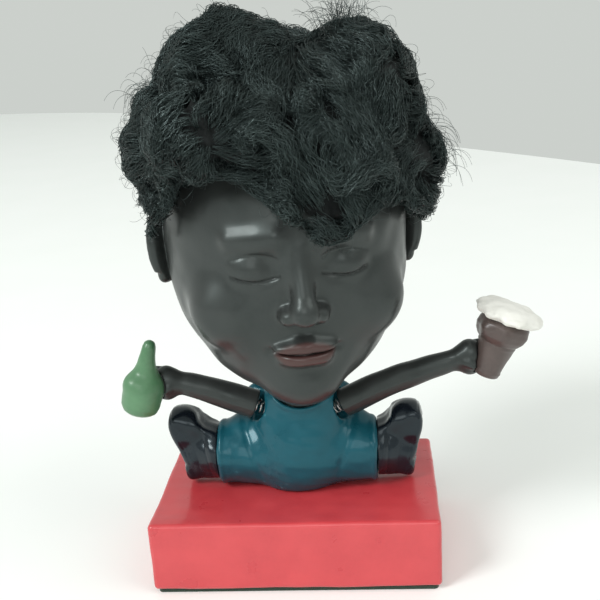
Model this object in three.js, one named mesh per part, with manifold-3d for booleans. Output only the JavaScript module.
// Bobble figure: a seated figure on a plinth, with a sprung head and two sprung arms.
// Millimetres, +Z up, the origin under the middle of the plinth. The figure faces -Y.
import * as THREE from 'three';
import { mergeVertices } from 'three/addons/utils/BufferGeometryUtils.js';
import { LoftGeometry } from 'three/addons/geometries/LoftGeometry.js';
import Module from 'manifold-3d';

const wasm = await Module();
wasm.setup();

// Driving dimensions
const GAP = 0.3;                       // clearance between pieces that are glued or painted together
const PLINTH_WIDTH = 90;
const PLINTH_DEPTH = 59;
const PLINTH_TOP = 24;
const PLINTH_WALL = 3;
const FELT_THICKNESS = 1.2;
const PLATE_THICKNESS = 2;
const LEG_RADIUS = 10.7;
const LEG_LENGTH = 51.6;               // from one trouser hem to the other
const LEG_MIDDLE_X = 0.6;
const LEG_AXIS_Z = 34.6;
const TORSO_TOP = 58.5;
const SHOE_WIDTH = 12.4;               // across the shoe, along Y
const SCREW_X = 12;                    // the two screws stand this far each side of the middle
const SCREW_RADIUS = 1.4;
const SCREW_HEAD_RADIUS = 3.2;
const SCREW_LENGTH = 14;               // from the plinth's inside to the point
const NECK = new THREE.Vector3(2, 0, 0);
const NECK_TOP = 62;                   // the neck spring stands here
const SPRING_TOP = 84;                 // and ends here, inside the head
const NECK_COIL_RADIUS = 4.6;
const NECK_WIRE_RADIUS = 0.6;
const NECK_TURNS = 9;
const HEAD_CENTRE = new THREE.Vector3(1, 1, 105);
const HEAD_YAW = 11;                   // degrees, towards +X
const HEAD_WALL = 3.5;
const NECK_HOLE_RADIUS = 11.5;
const ARM_GAP = 1.2;                   // between an arm's end face and the body, for the arm's swing
const ARM_COIL_RADIUS = 1.9;
const ARM_WIRE_RADIUS = 0.4;
const SOCKET_RADIUS = 2.9;
const SOCKET_DEPTH = 4.5;
const PROP_SIDES = 20;

const SKIN = { color: 0x2e2522, roughness: 0.45 };
const GARMENT = { color: 0x1d5666, roughness: 0.3 };
const SHOE = { color: 0x1b2430, roughness: 0.25 };
const PLINTH = { color: 0xc9353f, roughness: 0.35 };
const STEEL = { color: 0xb9bcc0, roughness: 0.3, metalness: 1 };

// Solids
function solidOf(geometry) {
  const bare = new THREE.BufferGeometry().copy(geometry);
  bare.deleteAttribute('normal');
  bare.deleteAttribute('uv');
  const welded = mergeVertices(bare, 1e-3);
  const mesh = new wasm.Mesh({
    numProp: 3,
    vertProperties: new Float32Array(welded.attributes.position.array),
    triVerts: new Uint32Array(welded.index.array),
  });
  return new wasm.Manifold(mesh);
}

function geometryOf(solid) {
  const mesh = solid.getMesh();
  const geometry = new THREE.BufferGeometry();
  geometry.setAttribute('position', new THREE.BufferAttribute(mesh.vertProperties, 3));
  geometry.setIndex(new THREE.BufferAttribute(mesh.triVerts, 1));
  geometry.computeVertexNormals();
  return geometry;
}

function roundedBox(width, depth, height, corner, edge) {
  const x = width / 2 - edge;
  const y = depth / 2 - edge;
  const outline = new THREE.Shape();
  outline.moveTo(-x + corner, -y);
  outline.lineTo(x - corner, -y);
  outline.absarc(x - corner, -y + corner, corner, -Math.PI / 2, 0);
  outline.absarc(x - corner, y - corner, corner, 0, Math.PI / 2);
  outline.absarc(-x + corner, y - corner, corner, Math.PI / 2, Math.PI);
  outline.absarc(-x + corner, -y + corner, corner, Math.PI, 1.5 * Math.PI);
  const geometry = new THREE.ExtrudeGeometry(outline, {
    depth: height - 2 * edge, curveSegments: 3,
    bevelEnabled: edge > 0, bevelThickness: edge, bevelSize: edge, bevelSegments: 2,
  });
  return geometry.translate(0, 0, edge);
}

// A turned solid standing on +Z; points are [radius, height] from the axis and back to it.
function turned(points, sides) {
  const profile = points.map(([radius, height]) => new THREE.Vector2(radius, height));
  return new THREE.LatheGeometry(profile, sides).rotateX(Math.PI / 2);
}

function rod(radius, from, to, sides) {
  return turned([[0, from], [radius, from], [radius, to], [0, to]], sides);
}

function ellipsoid(centre, radii, sides = 16, rings = 10) {
  return new THREE.SphereGeometry(1, sides, rings).rotateX(Math.PI / 2)
    .scale(...radii).translate(...centre);
}

// Turns a geometry that stands on +Z so that it stands on the point, along the direction.
function standOn(geometry, point, direction) {
  const turn = new THREE.Quaternion().setFromUnitVectors(new THREE.Vector3(0, 0, 1), direction);
  return geometry.applyQuaternion(turn).translate(point.x, point.y, point.z);
}

class Helix extends THREE.Curve {
  constructor(radius, bottom, pitch, firstTurn, turns) {
    super();
    Object.assign(this, { radius, bottom, pitch, firstTurn, turns });
  }

  getPoint(t, target = new THREE.Vector3()) {
    const turn = this.firstTurn + t * this.turns;
    const angle = 2 * Math.PI * turn;
    const height = this.bottom + this.pitch * turn;
    return target.set(this.radius * Math.cos(angle), this.radius * Math.sin(angle), height);
  }
}

function coil(helix, wireRadius, steps, sides) {
  const section = new THREE.Shape();
  for (let i = 0; i < sides; i += 1) {
    const angle = (2 * Math.PI * i) / sides;
    const method = i ? 'lineTo' : 'moveTo';
    section[method](wireRadius * Math.cos(angle), wireRadius * Math.sin(angle));
  }
  section.closePath();
  return new THREE.ExtrudeGeometry(section, { steps, extrudePath: helix });
}

const group = new THREE.Group();

function add(parent, name, geometry, finish) {
  const mesh = new THREE.Mesh(geometry, new THREE.MeshStandardMaterial(finish));
  mesh.name = name;
  parent.add(mesh);
  return mesh;
}

// Plinth: a hollow shell, closed below by a plate and a felt pad
const plinthShell = solidOf(
  roundedBox(PLINTH_WIDTH, PLINTH_DEPTH, PLINTH_TOP - FELT_THICKNESS, 1.5, 1.2)
    .translate(0, 0, FELT_THICKNESS),
);
const cavityWidth = PLINTH_WIDTH - 2 * PLINTH_WALL;
const cavityDepth = PLINTH_DEPTH - 2 * PLINTH_WALL;
const plinthCavity = solidOf(roundedBox(cavityWidth, cavityDepth, PLINTH_TOP - PLINTH_WALL, 2, 0));
const screwHoles = [-1, 1].map((side) => (
  solidOf(
    rod(SCREW_RADIUS + 2 * GAP, PLINTH_TOP - 2 * PLINTH_WALL, PLINTH_TOP + 1, 12)
      .translate(side * SCREW_X, 0, 0),
  )
));
const plinth = screwHoles.reduce(
  (shell, hole) => shell.subtract(hole),
  plinthShell.subtract(plinthCavity),
);
add(group, 'plinth', geometryOf(plinth), PLINTH);

const plate = roundedBox(cavityWidth - 2 * GAP, cavityDepth - 2 * GAP, PLATE_THICKNESS, 2, 0);
add(group, 'plinth_bottom_plate', plate, { color: 0x2a2a2c, roughness: 0.7 })
  .position.z = FELT_THICKNESS + GAP;

const felt = roundedBox(PLINTH_WIDTH - 2.5, PLINTH_DEPTH - 2.5, FELT_THICKNESS, 1.5, 0);
add(group, 'felt_pad', felt, { color: 0x24332a, roughness: 1 });

for (const [name, side] of [['body_screw_right', -1], ['body_screw_left', 1]]) {
  const head = PLINTH_TOP - PLINTH_WALL - GAP;
  const screw = turned(
    [[0, head - 2.2], [SCREW_HEAD_RADIUS - 0.8, head - 2.2], [SCREW_HEAD_RADIUS, head - 1.4],
      [SCREW_HEAD_RADIUS, head], [SCREW_RADIUS, head], [SCREW_RADIUS, head + SCREW_LENGTH - 2],
      [0, head + SCREW_LENGTH]],
    12,
  );
  add(group, name, screw, STEEL).position.x = side * SCREW_X;
}

// The figure's arms. Positions are the middle of the end face at the shoulder, then along the arm.
const ARMS = [
  {
    side: 'right',
    path: [[-12.2, -3, 52.2], [-21, -4.2, 56.2], [-30, -5.4, 60], [-36.5, -6.2, 62.2]],
    hand: [-38.9, -6.8, 62.4],
    spring: 'right_arm_spring',
  },
  {
    side: 'left',
    path: [[16.2, -3, 51.8], [28.4, -4.5, 58.2], [40, -5.7, 62.9], [52, -7, 67.2]],
    hand: [55.2, -7.4, 68.2],
    spring: 'left_arm_spring',
  },
];
for (const arm of ARMS) {
  arm.curve = new THREE.CatmullRomCurve3(arm.path.map((point) => new THREE.Vector3(...point)));
  arm.shoulder = arm.curve.getPoint(0);
  arm.direction = arm.curve.getTangent(0);
}

// Body: torso and the two trouser legs in one casting, flat below
const ELLIPSE_SIDES = 24;

function ellipseAt(centreX, centreY, halfWidth, halfDepth, z) {
  return Array.from({ length: ELLIPSE_SIDES }, (_, i) => {
    const angle = (2 * Math.PI * i) / ELLIPSE_SIDES;
    const x = centreX + halfWidth * Math.cos(angle);
    const y = centreY + halfDepth * Math.sin(angle);
    return new THREE.Vector3(x, y, z);
  });
}

const torsoSections = [
  ellipseAt(1, -1, 13, 8.5, 20),
  ellipseAt(1, -2, 15, 11, 32),
  ellipseAt(1.5, -2.5, 14.5, 11, 43),
  ellipseAt(2.3, -2.6, 13.6, 10.4, 50),
  ellipseAt(2.8, -2, 12.8, 9, 56),
  ellipseAt(3, -1.5, 11.4, 7.4, TORSO_TOP),
];
const torso = solidOf(new LoftGeometry(torsoSections, { capStart: true, capEnd: true }));
const legs = solidOf(
  turned(
    [[0, 0], [8.8, 0], [10.2, 1], [LEG_RADIUS, 4], [LEG_RADIUS, LEG_LENGTH - 4],
      [10.2, LEG_LENGTH - 1], [8.8, LEG_LENGTH], [0, LEG_LENGTH]],
    22,
  ).rotateY(Math.PI / 2).translate(LEG_MIDDLE_X - LEG_LENGTH / 2, 0, LEG_AXIS_Z),
);
const torsoAndLegs = torso.add(legs);
const belowPlinthTop = solidOf(
  new THREE.BoxGeometry(80, 40, 20).translate(0, 0, PLINTH_TOP + GAP - 10),
);
const neckline = { centre: [3, -7, 63], radii: [10.3, 9.6, 10] };
const scoop = solidOf(ellipsoid(neckline.centre, neckline.radii, 18, 10));
const POST_BOTTOM = 54;                // the foot of the neck, sunk in the body
const POST_RADIUS = 7.2;
const postSeat = solidOf(
  rod(POST_RADIUS + 0.8, POST_BOTTOM - 0.5, TORSO_TOP + 2, 20).translate(NECK.x, NECK.y, 0),
);
const pilotHoles = [-1, 1].map((side) => (
  solidOf(
    rod(SCREW_RADIUS + GAP, PLINTH_TOP - 4, PLINTH_TOP + SCREW_LENGTH - 1.5, 10)
      .translate(side * SCREW_X, 0, 0),
  )
));
const armSeats = ARMS.map((arm) => {
  const seat = rod(5.6, -ARM_GAP, 14, 20);
  const socket = rod(SOCKET_RADIUS, -ARM_GAP - SOCKET_DEPTH, 1, 12);
  return solidOf(standOn(seat, arm.shoulder, arm.direction))
    .add(solidOf(standOn(socket, arm.shoulder, arm.direction)));
});
const body = [belowPlinthTop, scoop, postSeat, ...pilotHoles, ...armSeats]
  .reduce((solid, cut) => solid.subtract(cut), torsoAndLegs);
add(group, 'body', geometryOf(body), GARMENT);

// Chest and neck: fills the scooped neckline and carries the neck spring on a peg
const chestRadii = neckline.radii.map((radius) => radius - GAP);
const chest = solidOf(ellipsoid(neckline.centre, chestRadii, 18, 10)).intersect(
  solidOf(new LoftGeometry(
    torsoSections.map((section) => section.map((point) => (
      new THREE.Vector3(2.8 + 0.93 * (point.x - 2.8), -2 + 0.93 * (point.y + 2), point.z)
    ))),
    { capStart: true, capEnd: true },
  )),
);
const neckPost = solidOf(turned(
  [[0, POST_BOTTOM], [POST_RADIUS, POST_BOTTOM], [6.8, NECK_TOP - 1], [6, NECK_TOP - GAP],
    [3.2, NECK_TOP - GAP], [3.2, NECK_TOP + 4], [2.6, NECK_TOP + 4.6], [0, NECK_TOP + 4.6]],
  20,
).translate(NECK.x, NECK.y, 0));
add(group, 'neck', geometryOf(chest.add(neckPost)), SKIN);

// Shoes: toes up, soles outwards
function shoeGeometry(side) {
  const toe = side < 0 ? 1.4 : 0;      // the right shoe's toe leans out a little more
  const hem = LEG_LENGTH / 2 + side * LEG_MIDDLE_X + GAP;
  const outline = new THREE.Shape();
  outline.moveTo(28, 26.5);
  outline.lineTo(35.8, 26.5);
  outline.lineTo(36.2, 30);
  outline.lineTo(34.9, 32);
  outline.quadraticCurveTo(38.2, 37, 39 + toe, 45);
  outline.quadraticCurveTo(39.2 + toe, 48.6, 36.6 + toe, 49);
  outline.quadraticCurveTo(34, 49.2, 32.4, 46);
  outline.quadraticCurveTo(30.8, 43, 28, 42.2);
  outline.closePath();
  const edge = 2.1;
  const slab = new THREE.ExtrudeGeometry(outline, {
    depth: SHOE_WIDTH - 2 * edge, curveSegments: 5,
    bevelEnabled: true, bevelThickness: edge, bevelSize: edge, bevelSegments: 3,
  }).rotateX(Math.PI / 2).translate(0, 1.2 + SHOE_WIDTH / 2 - edge, 0);
  const ankle = turned([[0, 0], [9.3, 0], [9.1, 3], [6.5, 9], [0, 9]], 20)
    .rotateY(Math.PI / 2).translate(hem, 0.4, LEG_AXIS_Z);
  const floor = new THREE.BoxGeometry(60, 40, 20).translate(40, 0, PLINTH_TOP + GAP - 10);
  const inside = new THREE.BoxGeometry(40, 40, 60)
    .translate(hem - 20, 0, PLINTH_TOP + 20);
  const solid = solidOf(slab).add(solidOf(ankle)).subtract(solidOf(floor)).subtract(solidOf(inside));
  return geometryOf(side > 0 ? solid : solid.mirror([1, 0, 0]));
}

for (const [name, side] of [['right_shoe', -1], ['left_shoe', 1]]) {
  add(group, name, shoeGeometry(side), SHOE);
}

// Bottle and mug, each turned on its own axis and then leant outwards
const BOTTLE = { base: new THREE.Vector3(-47.7, -11, 53.8), lean: new THREE.Vector3(5.7, 0, 24.5) };
const bottleProfile = [
  [0, 0], [5.2, 0], [6.1, 1], [6.1, 9.5], [5.8, 12], [4.5, 14.6], [2.7, 17], [2.2, 20],
  [1.9, 23.6], [1.2, 24.6], [0, 24.8],
];
const MUG = { base: new THREE.Vector3(60, -9, 62.6), lean: new THREE.Vector3(6.7, 0, 17.5) };
const mugProfile = [
  [0, 0], [3.4, 0], [4, 0.6], [4.8, 6], [5.7, 11], [6.9, 12.6], [7.9, 14.6], [8.2, 17],
  [7.9, 18.6], [0, 18.6],
];
const foamProfile = [
  [0, 18.6 + GAP], [8.6, 18.6 + GAP], [10.6, 20], [10.9, 21.8], [9.4, 23.4], [5, 24.2], [0, 24.4],
];

function prop(profile, place) {
  return standOn(turned(profile, PROP_SIDES), place.base, place.lean.clone().normalize());
}

function grown(profile, by) {
  const top = profile[profile.length - 1][1];
  return profile.map(([radius, height], i) => {
    const onAxis = radius === 0;
    const raised = i < 2 ? height - by : height + (height > top - 2 ? by : 0);
    return [onAxis ? 0 : radius + by, raised];
  });
}

add(group, 'bottle', prop(bottleProfile, BOTTLE), { color: 0x3f6f45, roughness: 0.35 });
add(group, 'mug', prop(mugProfile, MUG), { color: 0x4a3a35, roughness: 0.35 });
add(group, 'mug_foam', prop(foamProfile, MUG), { color: 0xe6e6dd, roughness: 0.8 });

// Arms: round, thinner at the wrist, each with a hand cupped round its prop
const ARM_STEPS = 9;
const ARM_SIDES = 16;

function armRadius(t) {
  return 4.7 - 1.5 * t ** 1.6;
}

function armGeometry(arm, propSolid) {
  const up = new THREE.Vector3(0, 0, 1);
  const sections = Array.from({ length: ARM_STEPS + 1 }, (_, step) => {
    const t = step / ARM_STEPS;
    const along = arm.curve.getTangent(t);
    const across = new THREE.Vector3().crossVectors(along, up).normalize();
    const over = new THREE.Vector3().crossVectors(across, along);
    const centre = arm.curve.getPoint(t);
    return Array.from({ length: ARM_SIDES }, (_item, i) => {
      const angle = (2 * Math.PI * i) / ARM_SIDES;
      const radius = armRadius(t);
      return centre.clone()
        .addScaledVector(across, -radius * Math.cos(angle))
        .addScaledVector(over, radius * Math.sin(angle));
    });
  });
  const limb = solidOf(new LoftGeometry(sections, { capStart: true, capEnd: true }));
  const hand = solidOf(ellipsoid(arm.hand, [4.9, 4.6, 4.8], 16, 10));
  const socket = standOn(rod(SOCKET_RADIUS, -1, SOCKET_DEPTH, 12), arm.shoulder, arm.direction);
  return geometryOf(limb.add(hand).subtract(solidOf(socket)).subtract(propSolid));
}

const propSpace = {
  right: solidOf(prop(grown(bottleProfile, GAP), BOTTLE)),
  left: solidOf(prop(grown(mugProfile, GAP), MUG)),
};
for (const arm of ARMS) {
  add(group, `${arm.side}_arm`, armGeometry(arm, propSpace[arm.side]), SKIN);
  const end = GAP + ARM_WIRE_RADIUS;
  const bottom = -ARM_GAP - SOCKET_DEPTH + end;
  const turns = 4;
  const pitch = (SOCKET_DEPTH - end - bottom) / turns;
  const helix = new Helix(ARM_COIL_RADIUS, bottom, pitch, 0, turns);
  const spring = standOn(coil(helix, ARM_WIRE_RADIUS, 32, 5), arm.shoulder, arm.direction);
  add(group, arm.spring, spring, STEEL);
}

// Neck spring: one coil, in three lengths that bend about each other
const neckPitch = (SPRING_TOP - NECK_TOP - 2 * NECK_WIRE_RADIUS) / NECK_TURNS;
const COIL_NAMES = ['neck_spring_lower_coils', 'neck_spring_middle_coils', 'neck_spring_upper_coils'];
COIL_NAMES.forEach((name, i) => {
  const turnsEach = NECK_TURNS / COIL_NAMES.length;
  const cut = 0.02;                    // of a turn, between one length and the next
  const helix = new Helix(
    NECK_COIL_RADIUS, NECK_TOP + NECK_WIRE_RADIUS, neckPitch, i * turnsEach + cut, turnsEach - 2 * cut,
  );
  const length = coil(helix, NECK_WIRE_RADIUS, 30, 5);
  add(group, name, length, STEEL).position.set(NECK.x, NECK.y, 0);
});

// Head, in its own frame: face towards -Y, the middle of the head at the origin.
// Each level: height, how far the front, the back and the sides reach.
const HEAD_LEVELS = [
  [-44, -29, -20, 7],
  [-41.5, -33, -8, 14],
  [-37, -35, 17, 21],
  [-29, -36, 26, 28],
  [-17, -37, 33, 34],
  [-4, -38, 38, 36.8],
  [10, -38.5, 40, 37],
  [24, -35.5, 38.5, 35],
  [35, -28, 31.5, 28.5],
  [42, -17, 21.5, 18.5],
  [45, -6, 9, 7],
];
const HEAD_TALL = 45;                  // from the head's middle to its crown
const HEAD_SIDES = 28;
const HEAD_RINGS = 17;
const headSpline = new THREE.CatmullRomCurve3(
  HEAD_LEVELS.map(([height, front, back]) => new THREE.Vector3(front, back, height)),
);
const widthSpline = new THREE.CatmullRomCurve3(
  HEAD_LEVELS.map(([height, , , side]) => new THREE.Vector3(side, 0, height)),
);

// The head's surface moved out by the offset (in, if it is negative).
function headGeometry(offset, sides = HEAD_SIDES, rings = HEAD_RINGS) {
  const sections = Array.from({ length: rings + 1 }, (_, ring) => {
    const depth = headSpline.getPoint(ring / rings);
    const width = widthSpline.getPoint(ring / rings);
    const height = depth.z * (1 + offset / HEAD_TALL);
    const centreY = (depth.x + depth.y) / 2;
    const reach = Math.max((depth.y - depth.x) / 2 + offset, 1);
    const side = Math.max(width.x + offset, 1);
    return Array.from({ length: sides }, (_item, i) => {
      const angle = (2 * Math.PI * i) / sides;
      return new THREE.Vector3(side * Math.cos(angle), centreY + reach * Math.sin(angle), height);
    });
  });
  return new LoftGeometry(sections, { capStart: true, capEnd: true });
}

const headGroup = new THREE.Group();
headGroup.position.copy(HEAD_CENTRE);
headGroup.rotation.z = THREE.MathUtils.degToRad(HEAD_YAW);
group.add(headGroup);
headGroup.updateMatrix();
const neckInHead = NECK.clone().applyMatrix4(headGroup.matrix.clone().invert());

function ear(side, grow = 0) {
  return solidOf(
    ellipsoid([0, 0, 0], [3 + grow, 7 + grow, 10.5 + grow], 12, 8)
      .rotateZ(side * 0.42).rotateY(side * 0.1).translate(side * 38, 4, 0),
  );
}

const NOSE = { centre: [0, -36.5, -12], radii: [5.5, 6, 9] };
const cavity = solidOf(headGeometry(-HEAD_WALL, 20, 12));
const neckHole = solidOf(rod(NECK_HOLE_RADIUS, -60, -28, 24).translate(neckInHead.x, neckInHead.y, 0));
const headOutside = solidOf(headGeometry(0))
  .add(solidOf(ellipsoid(NOSE.centre, NOSE.radii, 12, 8)))
  .add(ear(-1)).add(ear(1));
const headShell = headOutside.subtract(cavity).subtract(neckHole);
add(headGroup, 'head_shell', geometryOf(headShell), SKIN);

// The bar across the inside of the head, and the plug under it that grips the spring
const barBottom = SPRING_TOP + GAP - HEAD_CENTRE.z;
const roomForBar = solidOf(headGeometry(-HEAD_WALL - GAP, 20, 12));
const bar = solidOf(
  new THREE.BoxGeometry(80, 14, 4).translate(neckInHead.x, neckInHead.y, barBottom + 2 + GAP),
);
add(headGroup, 'spring_bar', geometryOf(bar.intersect(roomForBar)), { color: 0x7d7468, roughness: 0.7 });
const plugBottom = barBottom - 6;
const plug = turned(
  [[0, plugBottom], [2.6, plugBottom], [3.2, plugBottom + 0.8], [3.2, barBottom - 1],
    [3.2, barBottom - 0.05], [6.5, barBottom - 0.05], [6.5, barBottom], [0, barBottom]],
  16,
);
add(headGroup, 'spring_plug', plug, { color: 0x3a3a3d, roughness: 0.6 })
  .position.set(neckInHead.x, neckInHead.y, 0);

// Wig: a thin cap on the scalp, and the curls over it as one lobed mass
const CAP_THICKNESS = 1.2;
const HAIRLINE = 12;                   // its height above the head's middle
const HAIRLINE_TILT = 0.2;             // it falls this much per millimetre towards the nape
const belowHairline = solidOf(
  new THREE.BoxGeometry(120, 120, 80).translate(0, 0, -40).rotateX(-Math.atan(HAIRLINE_TILT))
    .translate(0, 0, HAIRLINE),
);
const capOutside = solidOf(headGeometry(GAP + CAP_THICKNESS));
const cap = capOutside.subtract(solidOf(headGeometry(GAP))).subtract(belowHairline);
add(headGroup, 'wig_cap', geometryOf(cap), { color: 0x141414, roughness: 0.9 });

const CURLS = [
  { centre: [1, 2, 32], radii: [41, 42, 30] },         // the mass under all the others
  { centre: [-14, -3, 42], radii: [23, 28, 27] },      // crown, right side of the parting
  { centre: [22, -3, 39], radii: [20, 27, 26] },       // crown, left side of the parting
  { centre: [-30, 2, 27], radii: [16.5, 27, 18] },
  { centre: [33, 2, 23], radii: [16, 26, 17] },
  { centre: [-16, -29, 34], radii: [24, 15, 15] },     // front, above the forehead
  { centre: [11, -32, 25], radii: [19, 11.5, 15.5] },      // front, the lock that dips lowest
  { centre: [2, 21, 18], radii: [37, 25, 35] },        // back, down to the nape
];
const curlMass = CURLS
  .map(({ centre, radii }) => solidOf(ellipsoid(centre, radii, 14, 9)))
  .reduce((all, curl) => all.add(curl));
const scalp = solidOf(headGeometry(2 * GAP + CAP_THICKNESS));
const curls = curlMass.subtract(scalp).subtract(ear(-1, 0.4)).subtract(ear(1, 0.4));
add(headGroup, 'wig_curls', geometryOf(curls), { color: 0x0d0d0f, roughness: 0.6 });

export default group;
